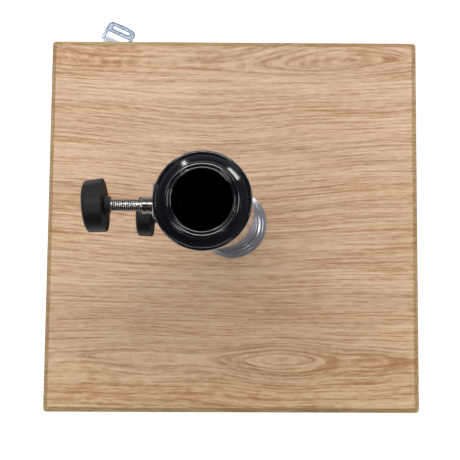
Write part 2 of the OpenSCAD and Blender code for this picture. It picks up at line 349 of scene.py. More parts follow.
# Small specks of dust on faces that look up
def makeDust():
    tree, given, out = newGroup("dust", "Mask", Vector=None, Size=900.0, Amount=0.5)
    speck = noise(tree, given["Vector"], given["Size"], 2.0, 0.7)
    cloud = noise(tree, given["Vector"], calc(tree, "DIVIDE", given["Size"], 14.0))
    mask = times(tree, between(tree, speck, 0.6, 0.74), between(tree, cloud, 0.4, 0.65))
    mask = times(tree, mask, between(tree, upward(tree), 0.1, 0.9))
    feed(tree, out, times(tree, mask, given["Amount"]))
    return tree


smudge, brushed, dust = makeSmudge(), makeBrushed(), makeDust()


oakLook = {
    # Linear colours from the palest to the darkest tone
    "ramp": [(0.0, (0.87, 0.65, 0.453)), (0.45, (0.73, 0.49, 0.309)), (1.0, (0.46, 0.245, 0.112))],
    "ringSpacing": 0.0044,
    # How far the rings curve through the thickness, bend along the board and wobble
    "curve": 20.0, "bend": 0.03, "wobble": 0.0013,
    "bendNoise": (2.6, 8, 8), "wobbleNoise": (18, 60, 40), "hueNoise": (4, 90, 60),
    # The rings sag by the last number round the first four: middle x, y, length, width
    "sag": (-0.03, 0.07, 0.13, 0.13, 0.019),
    # Lines where the rings turn back: y, softness and (x, length, rise) of each flame
    "lowFold": (-0.142, 0.0045, [(0.054, 0.054, 0.0125), (0.15, 0.026, 0.0036), (-0.09, 0.05, 0.004)]),
    "highFold": (0.183, 0.003, [(0.105, 0.085, 0.015)]), "flameWidth": 0.03, "eyeWidth": 0.016,
    # Noise drawn out along the grain: scale on its three axes, offset, detail, roughness
    "layers": {
        "broad": ((2.0, 26, 6), (0, 0, 0), 3.0, 0.55), "streak": ((13, 290, 14), (0, 0, 0), 3.0, 0.62),
        "line": ((9, 520, 14), (3, 1, 5), 2.0, 0.5), "fibre": ((85, 640, 30), (7, 5, 2), 2.0, 0.6),
        "pore": ((150, 1900, 60), (0, 0, 0), 1.0, 0.5)},
    # Parts of the tone: layer, where it starts and ends, weight
    "tones": [("streak", 0.34, 0.66, 0.34), ("line", 0.4, 0.66, 0.26), ("fibre", 0.34, 0.66, 0.34),
              ("broad", 0.34, 0.66, 0.22)],
    "lateTone": 0.26, "poreTone": 0.14, "paleTone": -0.13,
    # Broad tints, mostly painted light and shade: a darker band down the middle round the stand, darker
    # patches low on the left and right, a lighter band towards the top and a slightly yellower bottom edge.
    # Each has middle x, y, length, width and colour
    "lightAndShadeTints": [
        (0.026, -0.02, 0.155, 0.5, (0.835, 0.82, 0.8)), (0.0, 0.12, 0.4, 0.06, (1.06, 1.07, 1.09)),
        (0.0, -0.2, 0.5, 0.12, (0.99, 0.98, 0.9)), (-0.115, -0.105, 0.11, 0.055, (0.85, 0.85, 0.86)),
        (0.085, -0.11, 0.08, 0.055, (0.93, 0.93, 0.93))],
    "edgeShade": (0.815, 0.805, 0.65), "redTint": (1.01, 0.885, 0.8), "shine": 0.2,
}


# A bell round a point on the face: exp(-(dx / length)^2 - (dy / width)^2)
def bell(tree, at, x, y, length, width):
    local = stretch(tree, at, (1 / length, 1 / width, 0), (-x / length, -y / width, 0))
    reach = vectorCalc(tree, "DOT_PRODUCT", local, local)["Value"]
    return calc(tree, "EXPONENT", times(tree, reach, -1.0))


# Folds the value at a line: the distance d to it becomes sqrt(d^2 + softness^2), so the
# rings beyond it turn back, and each flame shifts them along the fold
def foldRings(tree, at, across, way, line, softness, flames):
    d = calc(tree, "SUBTRACT", across, line)
    squared = calc(tree, "MULTIPLY_ADD", d, d, softness ** 2)
    folded = calc(tree, "MULTIPLY_ADD", calc(tree, "SQRT", squared), way, line)
    return addUp(tree, folded, [
        (bell(tree, at, x, line, length, oakLook["flameWidth"]), -rise * way)
        for x, length, rise in flames])


def makeOak():
    look = oakLook
    material, tree, shader = newMaterial(
        "oiledOak", look["ramp"][1][1], 0.5, Specular_IOR_Level=look["shine"])
    at = pointOn(tree)
    x, y, z = splitAxes(tree, at)

    # Growth rings: the distance across the grain, curved through the thickness, bent
    # slowly along the board and turned back at two folds, counted in ring spacings
    bend = noise(tree, stretch(tree, at, look["bendNoise"]))
    wobble = noise(tree, stretch(tree, at, look["wobbleNoise"]), 1.0, 3.0, 0.6)
    depth = calc(tree, "SUBTRACT", float(span("board")[1][2]), z)
    *sagPlace, sag = look["sag"]
    across = addUp(tree, y, [
        (times(tree, depth, depth), look["curve"]), (bell(tree, at, *sagPlace), sag),
        (calc(tree, "SUBTRACT", bend, 0.5), look["bend"])])
    across = foldRings(tree, at, across, 1.0, *look["lowFold"])
    across = foldRings(tree, at, across, -1.0, *look["highFold"])
    across = addUp(tree, across, [(calc(tree, "SUBTRACT", wobble, 0.5), look["wobble"])])
    rings = calc(tree, "DIVIDE", across, look["ringSpacing"])

    # A ring darkens slowly and ends sharply. Each has its own strength, which comes and
    # goes along the board, and the rings round the first two flames are the strongest.
    phase = calc(tree, "FRACT", rings)
    late = times(tree, between(tree, phase, 0.15, 0.8), between(tree, phase, 0.99, 0.86))
    own = bundle(
        tree, times(tree, x, 9.0), times(tree, calc(tree, "FLOOR", rings), 3.7), times(tree, y, 9.0))
    strength = between(tree, noise(tree, own, 1.0, 2.0, 0.55), 0.36, 0.62, 0.15, 1.0)
    foldLine, _, flames = look["lowFold"]
    strength = addUp(tree, strength, [
        (bell(tree, at, tip, foldLine, length, look["eyeWidth"]), 0.9) for tip, length, _ in flames[:2]])

    # Streaks and fibres follow the rings. Their third measure keeps the two sides of a
    # fold apart.
    apart = calc(tree, "MULTIPLY_ADD", z, 14.0, y)
    grain = bundle(tree, x, calc(tree, "MULTIPLY_ADD", y, 0.35, across), apart)
    layer = {name: noise(tree, stretch(tree, grain, scale, offset), 1.0, detail, roughness)
             for name, (scale, offset, detail, roughness) in look["layers"].items()}
    pores = times(
        tree, between(tree, layer["pore"], 0.58, 0.72), between(tree, phase, 0.75, 0.15, 0.25, 1.0))
    tones = [(between(tree, layer[name], low, high), weight) for name, low, high, weight in look["tones"]]
    tone = addUp(tree, look["paleTone"], [
        (times(tree, late, strength), look["lateTone"]), *tones, (pores, look["poreTone"])])
    colour = ramp(tree, tone, look["ramp"])

    # Some of the dark streaks are redder
    hue = noise(tree, stretch(tree, at, look["hueNoise"], (3, 7, 2)))
    hue = between(tree, hue, 0.44, 0.64)
    red = times(tree, hue, between(tree, tone, 0.25, 0.8))
    colour = blendColour(tree, red, colour, look["redTint"], "MULTIPLY")
    # Painted light and shade: broad bells darken or lighten the colour
    for tintX, tintY, length, width, tint in look["lightAndShadeTints"]:
        colour = blendColour(tree, bell(tree, at, tintX, tintY, length, width), colour, tint, "MULTIPLY")

    # Painted shade: faces that slope away from straight up, the worked edges and sides, are darkened and
    # made more olive than the face
    edge = between(tree, upward(tree), 0.98, 0.85)
    colour = blendColour(tree, edge, colour, look["edgeShade"], "MULTIPLY")
    rough = addUp(tree, between(tree, layer["line"], 0.3, 0.7, 0.46, 0.56), [(pores, 0.2)])
    height = addUp(tree, times(tree, layer["line"], 0.5), [(pores, -1.0)])
    dress(tree, shader, colour, rough, height, 0.25, 0.00012)
    return material


def makeMetal(name, colour, roughness, lines, lineStrength, spread, worn=0.86, metallic=1.0, markSize=45.0):
    material, tree, shader = newMaterial(name, colour, roughness, Metallic=metallic)
    at = pointOn(tree)
    line = useGroup(tree, brushed, Vector=at, Stretch=lines)
    marks = useGroup(tree, smudge, Vector=at, Size=markSize)
    rough = addUp(tree, roughness - spread * 0.35, [(marks, spread)])
    rough = calc(tree, "MULTIPLY_ADD", calc(tree, "SUBTRACT", line, 0.5), spread, rough, clamp=True)
    colour = blendColour(tree, marks, colour, tuple(worn * c for c in colour))
    dress(tree, shader, colour, rough, line, lineStrength, 0.00004)
    return material


threadLook = {
    # The root and aside colours are painted shade: roots nearly black, crests darker at a slant
    "root": (0.018, 0.015, 0.013), "clean": (0.7, 0.685, 0.67), "worn": (0.62, 0.595, 0.57),
    "aside": (0.21, 0.195, 0.185)}


# Zinc on a thread: painted shade darkens the roots nearly to black, and the crests are worn bright
def makeThreadSteel(name, radius, y, z):
    look = threadLook
    material, tree, shader = newMaterial(name, look["clean"], 0.36, Metallic=1.0)
    at = pointOn(tree)
    radial = stretch(tree, at, (0, 1 / radius, 1 / radius), (0, -y / radius, -z / radius))
    crest = between(tree, vectorCalc(tree, "LENGTH", radial)["Value"], 0.86, 0.96)
    marks = useGroup(tree, smudge, Vector=at, Size=160.0)
    wornAndShaded = blendColour(tree, marks, look["clean"], look["worn"])
    # Painted shade: seen at a slant the crests are darkened, standing in for the dark flanks that they
    # mirror
    aside = put(tree, "LayerWeight").outputs["Facing"]
    wornAndShaded = blendColour(tree, between(tree, aside, 0.04, 0.34), wornAndShaded, look["aside"])
    colour = blendColour(tree, crest, look["root"], wornAndShaded)
    rough = between(tree, crest, 0.0, 1.0, 0.5, 0.36)
    dress(tree, shader, colour, rough, noise(tree, at, 2600.0), 0.05, 0.00002)
    return material


def makeMoulding(name, colour, roughness, grainSize, grainDepth, dusty, spread, shine=0.5, lowShine=1):
    material, tree, shader = newMaterial(name, colour, roughness)
    # Grain can hide part of the shine at a low angle
    if lowShine < 1:
        aside = put(tree, "LayerWeight").outputs["Facing"]
        shine = between(tree, aside, 0.55, 0.85, shine, shine * lowShine)
    at = pointOn(tree)
    marks = useGroup(tree, smudge, Vector=at, Size=60.0)
    specks = useGroup(tree, dust, Vector=at, Size=1400.0, Amount=dusty)
    rough = addUp(tree, roughness - spread * 0.4, [(marks, spread)])
    rough = calc(tree, "MULTIPLY_ADD", specks, 0.5, rough, clamp=True)
    grey = tuple(0.35 * c + 0.1 for c in colour)
    grain = noise(tree, at, grainSize, 3.0, 0.6)
    dress(tree, shader, blendColour(tree, specks, colour, grey), rough, grain, grainDepth, 0.00006,
          Specular_IOR_Level=shine)
    return material


tapeLook = {"pale": (0.86, 0.935, 0.99), "shade": (0.66, 0.73, 0.82), "warp": 0.0009, "weft": 0.0011,
            "sheen": 0.25}


# Plain weave on the tape's own length and width: two waves that cross, with a hairy
# unevenness
def makeTape():
    look = tapeLook
    material, tree, shader = newMaterial("wovenTape", look["pale"], 0.85, Sheen_Weight=look["sheen"])
    at = put(tree, "UVMap", uv_map="along").outputs[0]
    length, width, _ = splitAxes(tree, at)
    along = calc(tree, "SINE", times(tree, length, math.pi / look["weft"]))
    across = calc(tree, "SINE", times(tree, width, math.pi / look["warp"]))
    weave = calc(tree, "ABSOLUTE", times(tree, along, across))
    hair = noise(tree, stretch(tree, at, (900, 4200, 1)), 1.0, 3.0, 0.6)
    height = calc(tree, "MULTIPLY_ADD", hair, 0.35, weave)
    mask = between(tree, height, 0.15, 0.95)
    colour = blendColour(tree, mask, look["shade"], look["pale"])
    dress(tree, shader, colour, between(tree, hair, 0.2, 0.8, 0.8, 0.95), height, 0.7, 0.00025)
    return material


# Colour, roughness, how the brushing is drawn out along X, Y and Z, its depth and the
# roughness's spread, then where they are special, the share of the colour that worn
# spots keep, metallic and the marks' size
metals = {
    "polishedTube": ((0.62, 0.615, 0.61), 0.045, (40, 40, 900), 0.03, 0.02, 0.95),
    "shadedTubeInside": ((0.02, 0.018, 0.018), 0.6, (300, 300, 60), 0.3, 0.2),
    "ringSteel": ((0.31, 0.315, 0.35), 0.15, (60, 60, 1500), 0.04, 0.06, 0.86, 0.5),
    "railSteel": ((0.26, 0.255, 0.25), 0.2, (900, 900, 25), 0.15, 0.06, 0.94),
    "bossSteel": ((0.17, 0.15, 0.14), 0.22, (900, 900, 25), 0.15, 0.12),
    "zincSteel": ((0.66, 0.67, 0.7), 0.28, (200, 200, 200), 0.12, 0.18),
    "plugSteel": ((0.03, 0.03, 0.03), 0.6, (500, 500, 500), 0.2, 0.15),
    "buckleZinc": ((0.225, 0.275, 0.36), 0.36, (260, 260, 260), 0.12, 0.12, 0.86, 1.0, 120.0),
    "eyeletBrass": ((0.76, 0.58, 0.28), 0.28, (300, 300, 300), 0.12, 0.15),
}
# Colour, roughness, the grain's size and depth, dust, the roughness's spread, then where
# they are special, the shine and the share of it that is left at a low angle
mouldings = {
    "collarPlastic": ((0.0026, 0.0028, 0.0044), 0.1, 900.0, 0.05, 0.2, 0.05),
    "knobPlastic": ((0.004, 0.004, 0.0046), 0.44, 5200.0, 0.3, 0.12, 0.06, 0.17, 0.12),
    "footRubber": ((0.028, 0.028, 0.03), 0.7, 3800.0, 0.5, 0.5, 0.12),
    "padNylon": ((0.02, 0.02, 0.022), 0.38, 2400.0, 0.2, 0.1, 0.08),
}
finishes = {"oiledOak": makeOak(), "wovenTape": makeTape()}
finishes.update((name, makeMetal(name, *row)) for name, row in metals.items())
finishes.update((name, makeMoulding(name, *row)) for name, row in mouldings.items())
print("materials made")


# The nodes that keep the CAD model's own meshes
keptNodes = {
    "oiledOak": ["board"], "plugSteel": ["tube_plug"], "padNylon": ["upper_tip_pad", "lower_tip_pad"],
    "zincSteel": ["foot_screws", "centre_bolt", "bolt_washer", "strap_washer", "strap_screw"]}
for finish, names in keptNodes.items():
    for name in names:
        for slot in nodes[name].material_slots:
            slot.material = finishes[finish]


# A round bar to cut with
def cutter(radius, low, high, **placing):
    profile = np.array([[0, low], [radius, low], [radius, high], [0, high]])
    return turned("cutter", profile, closed=False, **placing)


tubeShape = {**inMm(wall=1.5, edge=0.3, screwHole=4.0, reach=80), "insideFrom": 0.9}


def boreForScrews(piece):
    combine(piece, [
        cutter(tubeShape["screwHole"], 0, tubeShape["reach"], count=facets["cutter"],
               place=(0, *middle(node)[1:]), toMinusX=True) for node in ("upper_screw", "lower_screw")])


# Tube wall: a thin rectangle with eased corners turned about Z and bored for the screws
def makeTube():
    low, high = span("tube")
    outer, wall, edge = high[0], tubeShape["wall"], tubeShape["edge"]
    profile = filleted([
        (outer, low[2], edge), (outer, high[2], edge), (outer - wall, high[2], edge),
        (outer - wall, low[2], edge)], steps=3)
    tube = turned("tube", profile)
    boreForScrews(tube)
    shadeSmooth(tube)
    fit(tube, "stand", "polishedTube", "tube")
    # The inner side has a near-black finish of its own, painted shade down the bore
    tube.data.materials.append(finishes["shadedTubeInside"])
    for face in tube.data.polygons:
        face.material_index = int(face.center.xy.length < outer - wall * tubeShape["insideFrom"])


ringShape = inMm(
    clearance=0.2, neck=2.9, neckFoot=0.5, shoulder=0.62, neckEdge=0.6, footEdge=0.2, flangeRoot=1.9,
    flangeRim=1.3, fillet=2.1, rim=0.5, lip=0.5, lipEdge=0.3, boreEdge=0.1)


# Trim ring: a neck round the tube that runs out into a sloping flange
def makeTrimRing():
    shape = ringShape
    low, high = span("trim_ring")
    outer, height = high[0], high[2] - low[2]
    bore = span("tube")[1][0] + shape["clearance"]
    neck = bore + shape["neck"]
    profile = filleted([
        (bore, 0), (outer, 0, shape["footEdge"]), (outer, shape["flangeRim"], shape["rim"]),
        (neck + shape["neckFoot"], shape["flangeRoot"], shape["fillet"]),
        (neck, height - shape["shoulder"], shape["neckEdge"]),
        (bore + shape["lip"], height, shape["lipEdge"]), (bore, height, shape["boreEdge"])], steps=10)
    ring = turned("trimRing", profile, place=(0, 0, low[2]))
    fit(ring, "stand", "ringSteel", "trim_ring")


railShape = {**inMm(edge=0.9, end=0.8, straight=3), "ease": (0, 0.35, 1.0), "shrink": 0.8}


# Clamp rail: a flat strip whose back follows the tube, drawn along Z, a little
# smaller in section at its two ends
def makeRail():
    shape = railShape
    low, high = span("clamp_rail")
    tubeRadius = span("tube")[1][0]
    end = np.array(shape["ease"]) * shape["end"]
    less = (shape["end"] - end) * shape["shrink"]
    straight = [low[2] + shape["straight"], high[2] - shape["straight"]]
    rows = []
    for z, cut in zip([*(low[2] + end), *straight, *(high[2] - end[::-1])], [*less, 0, 0, *less[::-1]]):
        half, front = high[1] - cut, low[0] + cut
        back = -np.sqrt(tubeRadius ** 2 - half ** 2)
        sweep = np.linspace(-half, half, 15)[1:-1]
        arc = np.stack([-np.sqrt(tubeRadius ** 2 - sweep ** 2), sweep], -1)
        face = filleted([(back, half), (front, half, shape["edge"]),
                         (front, -half, shape["edge"]), (back, -half)], closed=False, steps=5)
        outline = np.vstack([face, arc])
        rows.append(np.column_stack([outline, np.full(len(outline), z)]))
    rail = gridPiece("clampRail", np.array(rows), capped=True)
    boreForScrews(rail)
    shadeSmooth(rail, 32)
    fit(rail, "stand", "railSteel", "clamp_rail")


bossShape = inMm(
    collar=3.2, groove=1.0, depth=0.5, bore=3.98, grooveEdge=0.25, neckEdge=0.15, mouth=0.6, boreEdge=0.35)


# Threaded boss: a short sleeve towards -X with a turned groove behind its collar
def makeBoss(name, node):
    shape = bossShape
    low, high = span(node)
    radius, length, bore = high[1], high[0] - low[0], shape["bore"]
    collar = length - shape["collar"]
    groove, neck = collar - shape["groove"], radius - shape["depth"]
    profile = filleted([
        (bore, 0), (radius, 0), (radius, groove, shape["grooveEdge"]), (neck, groove, shape["neckEdge"]),
        (neck, collar, shape["neckEdge"]), (radius, collar, shape["grooveEdge"]),
        (radius, length, shape["mouth"]), (bore, length, shape["boreEdge"])], steps=4)
    place = (high[0], 0, middle(node)[2])
    boss = turned(name, profile, count=facets["boss"], place=place, toMinusX=True)
    fit(boss, "stand", "bossSteel", node)


makeTube()
makeTrimRing()
makeRail()
makeBoss("upperBoss", "upper_boss")
makeBoss("lowerBoss", "lower_boss")
print("tube, ring and rail made")


collarShape = {
    **inMm(
        rimHeight=6.0, groove=0.6, step=1.75, crown=0.75, crownDrop=0.12, bulge=0.1, spigotWall=4.4,
        spigotGap=0.1, ledge=1.2, footEdge=0.6, seatEdge=0.1, underEdge=0.35, rimEdge=0.9,
        grooveEdge=0.25, lip=0.4, lipEdge=0.3, ledgeEdge=0.2),
    # Places in the groove, as shares of its width and of its depth
    "grooveFloor": (0.75, 0.25), "slopeFoot": 0.3}


# Collar: spigot, rim, fine groove, then a nearly straight slope up to the crown,
# height = foot + rise u + bulge 4 u (1 - u), with u running from the groove inwards
def makeCollar():
    shape = collarShape
    low, high = span("collar")
    tubeTop = span("tube")[1]
    seat, spigot = tubeTop[2], tubeTop[0] - tubeShape["wall"] - shape["spigotGap"]
    foot, top, outer = low[2] - seat, high[2] - seat, high[0]
    bore, rim, groove = spigot - shape["spigotWall"], shape["rimHeight"], shape["groove"]
    grooveIn = outer - shape["step"] - groove
    crown, crownTop = bore + shape["crown"], top - shape["crownDrop"]
    slopeFoot = rim - groove * shape["slopeFoot"]
    u = np.linspace(0, 1, 16)
    slope = np.stack([
        grooveIn + (crown - grooveIn) * u,
        slopeFoot + (crownTop - slopeFoot) * u + shape["bulge"] * 4 * u * (1 - u)], -1)[:-1]
    ledge, ledgeTop, lip = bore - shape["ledge"], foot + shape["ledge"], shape["lip"]
    below = filleted([
        (ledge, foot), (spigot, foot, shape["footEdge"]), (spigot, 0, shape["seatEdge"]),
        (outer, 0, shape["underEdge"]), (outer, rim, shape["rimEdge"]),
        (grooveIn + groove, rim, shape["grooveEdge"]),
        *[(grooveIn + groove * share, rim - groove) for share in shape["grooveFloor"]]], closed=False)
    inside = filleted([
        (crown, crownTop), (bore + lip, top, shape["lipEdge"]), (bore, top - lip, shape["lipEdge"]),
        (bore, ledgeTop, shape["ledgeEdge"]), (ledge, ledgeTop)], closed=False)
    profile = np.vstack([below, slope, inside[1:]])
    collar = turned("collar", profile, place=(0, 0, seat))
    fit(collar, "stand", "collarPlastic", "collar")


sleeveShape = {
    **inMm(lipRise=0.5, footEdge=0.4, boreEdge=0.15, ledgeTop=1.2, ledgeEdge=0.2),
    # Wall and ledge of each sleeve
    "outer": (2.2 * mm, 1.2 * mm), "inner": (1.6 * mm, 0)}


# Sleeve: a wall whose head is a flat oval, middle + half cos, rise sin, and where it has
# one, a ledge at its foot
def makeSleeve(name, node, body, section):
    shape, (wall, ledge) = sleeveShape, section
    low, high = span(node)
    outer, inner, height = high[0], high[0] - wall, high[2] - low[2]
    half, rise = wall / 2, shape["lipRise"]
    sweep = np.linspace(0, np.pi, 17)
    lip = np.stack([inner + half + half * np.cos(sweep), height - rise + rise * np.sin(sweep)], -1)
    corners = [(inner - ledge, 0, shape["boreEdge"]), (outer, 0, shape["footEdge"]), *map(tuple, lip)]
    if ledge:
        corners += [(r, shape["ledgeTop"], shape["ledgeEdge"]) for r in (inner, inner - ledge)]
    sleeve = turned(name, filleted(corners, steps=8), place=(0, 0, low[2]))
    fit(sleeve, body, "collarPlastic", node)


makeCollar()
makeSleeve("outerReducer", "outer_reducer", "outer_sleeve", sleeveShape["outer"])
makeSleeve("innerReducer", "inner_reducer", "inner_sleeve", sleeveShape["inner"])
print("collar and sleeves made")


threadShape = {
    **inMm(pitch=1.25, depth=0.76, length=38, crown=0.02, point=2.7, chamfer=0.7, endEdge=0.3, seam=0.01),
    "around": 48, "dog": 0.64, "runIn": 0.4, "runOut": 0.8,
    # Where the flank leaves the root and meets the crest, in pitches
    "rootEdge": 0.07, "crestEdge": 0.345,
    # Steps over half a pitch, close together where the flank starts and ends
    "steps": (0, 0.5, 1, 1.4, 3.5, 6.5, 9.3, 10, 10.6, 12.4, 14), "edges": (0, 1, 10, 14)}


# Clamp screw: each row of the grid is one line of the helix, x = start + pitch (share -
# 1 + turn), a right-hand thread. Radius = crest less a flank that falls evenly from the
# crest's edge to the root's, and both ends of the thread run out to plain rounds.
def makeScrew(name, node, body):
    shape = threadShape
    low, high = span(node)
    crest, pitch, depth, end = high[1], shape["pitch"], shape["depth"], shape["endEdge"]
    centre = middle(node)
    tip = high[0] - shape["point"]
    start = tip - shape["length"]
    half = np.interp(shape["steps"], shape["edges"], [0, shape["rootEdge"], shape["crestEdge"], 0.5])
    shares = np.concatenate([half, 1 - half[-2:0:-1]])
    turns = np.arange(math.ceil(shape["length"] / pitch) + 1)
    share = (turns[:, None] + shares).reshape(-1, 1)
    turn = np.linspace(0, 1, shape["around"] + 1)[None, :]
    x = np.clip(start + pitch * (share - 1 + turn), start, tip)
    fromCrest, flat = np.abs(share % 1 - 0.5), 0.5 - shape["crestEdge"]
    flank = np.clip((fromCrest - flat) / (shape["crestEdge"] - shape["rootEdge"]), 0, 1) * depth
    cut = flank + np.minimum(fromCrest / flat, 1) ** 2 * shape["crown"]
    fade = (np.clip((tip - x) / (shape["runOut"] * pitch), 0, 1)
            * np.clip((x - start) / (shape["runIn"] * pitch), 0, 1))
    chamfer = np.clip(1 - (tip - x) / shape["chamfer"], 0, 1) * depth
    radius = crest - np.maximum(np.minimum(cut, depth) * fade, chamfer)
    dog, seam = crest * shape["dog"], shape["seam"]
    shank = np.array([[low[0], 0], [low[0], crest - end], [low[0] + end, crest], [start - seam, crest]])
    point = np.array([[tip + seam, dog], [high[0] - end, dog], [high[0], dog - end], [high[0], 0]])
    plain = np.ones_like(turn)
    x = np.vstack([shank[:, :1] * plain, x, point[:, :1] * plain])
    radius = np.vstack([shank[:, 1:] * plain, radius, point[:, 1:] * plain])
    angle = 2 * np.pi * turn
    points = np.stack([x, centre[1] + radius * np.cos(angle), centre[2] + radius * np.sin(angle)], -1)
    screw = gridPiece(name, points, closeColumns=False)
    shadeSmooth(screw, 50)
    finishes[name] = makeThreadSteel(name + "Steel", crest, *centre[1:])
    fit(screw, body, name, node)


knobShape = {
    **inMm(
        hubLength=3.5, hubAcross=11.6, hubEdge=0.4, footEdge=0.12, footTop=0.7, turnedTo=1.0, bore=3.97,
        grip=12.9, taper=0.7, dome=2.6, domeFoot=0.5, domeRow=0.9, domeIn=4, backEdge=0.8, frontEdge=1.25),
    # The hub's first ring and the rim's, in apothems, and how far the corners reach
    "footRing": 0.9, "rimRing": 1.15, "corner": 1.13, "turnedShare": 0.55, "lean": 5.5}


# Knob: rows of radius, distance along the screw and 1 where the row is a hexagon with
# turned corners, apothem / cos(angle). The rim's rows are round and end in a dome, and
# lean is how many degrees the rim sits out of square on its hub.
def makeKnob(name, node, body, lean):
    shape = knobShape
    low, high = span(node)
    radius, length = high[1], high[0] - low[0]
    apothem = shape["hubAcross"] / 2 * math.cos(math.pi / 6)
    hub, face = shape["hubLength"], radius - shape["taper"]
    rimEnd = length - shape["dome"]
    hubRows = np.array([
        [0, shape["grip"], 0], [shape["bore"], shape["grip"], 0], [shape["bore"], 0, 0],
        [apothem * shape["footRing"], 0, 0], [apothem, shape["footEdge"], 1],
        [apothem, shape["footTop"], 1], [apothem, hub - shape["hubEdge"], 1], [apothem, hub, 1]])
    rim = filleted([
        (apothem * shape["rimRing"], hub), (radius, hub, shape["backEdge"]),
        (face, rimEnd + shape["domeFoot"], shape["frontEdge"]),
        (face - shape["domeIn"], rimEnd + shape["domeRow"])], closed=False, steps=8)[:-1]
    last = rim[-1]
    sweep = np.linspace(0, np.pi / 2, 14)[1:, None]
    dome = np.hstack([last[0] * np.cos(sweep), last[1] + (length - last[1]) * np.sin(sweep)])
    rimRows = np.vstack([rim, dome])
    rows = np.vstack([hubRows, np.column_stack([rimRows, np.zeros(len(rimRows))])])
    angle = np.linspace(0, 2 * np.pi, facets["knob"], endpoint=False)
    corner = np.abs((angle + np.pi / 6) % (np.pi / 3) - np.pi / 6)
    hexagon = np.minimum(1 / np.cos(corner), shape["corner"])
    # The hexagon's corners stand less proud where they are turned, at the hub's end
    turnedShare = shape["turnedShare"]
    proud = np.clip(turnedShare + rows[:, 1] / shape["turnedTo"] * (1 - turnedShare), 0, 1)[:, None]
    r, h = rows[:, :1] * (1 + rows[:, 2:] * proud * (hexagon - 1)), rows[:, 1:2] + 0 * angle
    x, y = r * np.cos(angle), r * np.sin(angle)
    share = np.clip(rows[:, 1:2] / hub, 0, 1)
    share[:3] = 0
    shear = math.tan(math.radians(lean)) * share
    points = pointMinusX(np.stack([x, y - shear * (h - hub * share), h + shear * y], -1))
    knob = gridPiece(name, points + np.array([high[0], 0, middle(node)[2]]))
    shadeSmooth(knob, 35)
    fit(knob, body, "knobPlastic", node)


for side in ("upper", "lower"):
    makeScrew(side + "Screw", side + "_screw", side + "_clamp")
makeKnob("upperKnob", "upper_knob", "upper_clamp", knobShape["lean"])
makeKnob("lowerKnob", "lower_knob", "lower_clamp", 0.0)
print("screws and knobs made")


footShape = {**inMm(
    radius=14, screwHead=4.4, headDepth=5, headEdge=0.5, shank=2.1, chamfer=1.2, chamferTop=1.6,
    sideEdge=0.6, band=0.5, bandEdge=0.2, topEdge=0.3), "bandFrom": 0.45, "bandTo": 0.55}


# Foot: a low drum with a grooved side and a stepped hole for its screw
def makeFeet():
    shape = footShape
    low, high = span("rubber_feet")
    height, radius = high[2] - low[2], shape["radius"]
    inset = high[0] - radius
    band, edge, head = shape["band"], shape["bandEdge"], shape["screwHead"]
    grooveLow, grooveHigh = shape["bandFrom"] * height, shape["bandTo"] * height
    profile = filleted([
        (head, 0, shape["headEdge"]), (radius - shape["chamfer"], 0, shape["sideEdge"]),
        (radius, shape["chamferTop"], shape["sideEdge"]), (radius, grooveLow, edge),
        (radius - band, grooveLow + band, edge), (radius - band, grooveHigh, edge),
        (radius, grooveHigh + band, edge), (radius, height, shape["topEdge"]), (shape["shank"], height),
        (shape["shank"], shape["headDepth"]), (head, shape["headDepth"])], steps=4)
    corners = [(x * inset, y * inset, low[2]) for x in (-1, 1) for y in (-1, 1)]
    feet = join("rubberFeet", [turned("foot", profile, count=facets["small"], place=at) for at in corners])
    fit(feet, "stand", "footRubber", "rubber_feet")


makeFeet()


swivel = np.array(joints["strap_swivel"]["pos_m"])
swing = joints["buckle_swing"]
strapTurn = math.atan2(swing["axis"][1], swing["axis"][0])
strapLength = float(np.linalg.norm((swing["pos_m"] - swivel)[:2]))


# From the strap's own frame, which points along +Y from the swivel, to the row's
def onStrap(points):
    return turnZ(points, strapTurn) + swivel


tapeShape = {
    **inMm(
        width=25, thick=1.16, gap=0.02, tail=10.5, loop=1.28, loopFoot=1.2, eye=5.3, eyeCut=10, round=0.45),
    # The turn round the bar ends this far in radians from its far side
    "wrap": 2.45}


# Webbing: a thin rectangle with round edges carried along a path that lies flat, goes
# round the hinge bar and comes back on top of itself
def makeTapePiece():
    shape = tapeShape
    thick, half, edge = shape["thick"], shape["width"] / 2, shape["round"]
    level = (thick + shape["gap"]) / 2
    loop = shape["loop"] + thick / 2
    flat = strapLength - (loop + level + shape["loopFoot"])
    run = np.linspace(-shape["tail"], flat, 36)
    sweep = np.linspace(-shape["wrap"], shape["wrap"], 26)
    turn = np.stack([strapLength + loop * np.cos(sweep), loop * np.sin(sweep)], -1)
    under = np.stack([run, np.full(len(run), -level)], -1)
    path = np.vstack([under, turn, under[::-1] * [1, -1]])
    step = np.gradient(path, axis=0)
    tangent = step / np.linalg.norm(step, axis=1)[:, None]
    normal = np.stack([-tangent[:, 1], tangent[:, 0]], -1)
    section = filleted([
        (-half, -thick / 2, edge), (half, -thick / 2, edge), (half, thick / 2, edge),
        (-half, thick / 2, edge)], steps=4)
    length = np.concatenate([[0], np.cumsum(np.linalg.norm(np.diff(path, axis=0), axis=1))])
    side, lift = section[None, :, 0], section[None, :, 1]
    x = -side * np.ones((len(path), 1))
    y = path[:, :1] + normal[:, :1] * lift
    z = path[:, 1:] + normal[:, 1:] * lift
    uv = np.stack([length[:, None] + 0 * side, side + 0 * length[:, None]], -1)
    tape = gridPiece("webbingTab", onStrap(np.stack([x, y, z], -1)), capped=True, uv=uv)
    eye, deep = shape["eye"], shape["eyeCut"]
    combine(tape, [cutter(eye, -deep, deep, count=facets["eye"], place=swivel)])
    shadeSmooth(tape, 50)
    whole = join("webbingTab", [tape, makeStitches(level + thick / 2)])
    fit(whole, "strap", "wovenTape", "webbing_tab")
    print("tape cut length", round(float(length[-1]) / mm, 1), "mm")


stitchShape = inMm(gap=2.6, length=1.7, thick=0.28, sunk=0.02, inset=2.2, start=12, end=8)


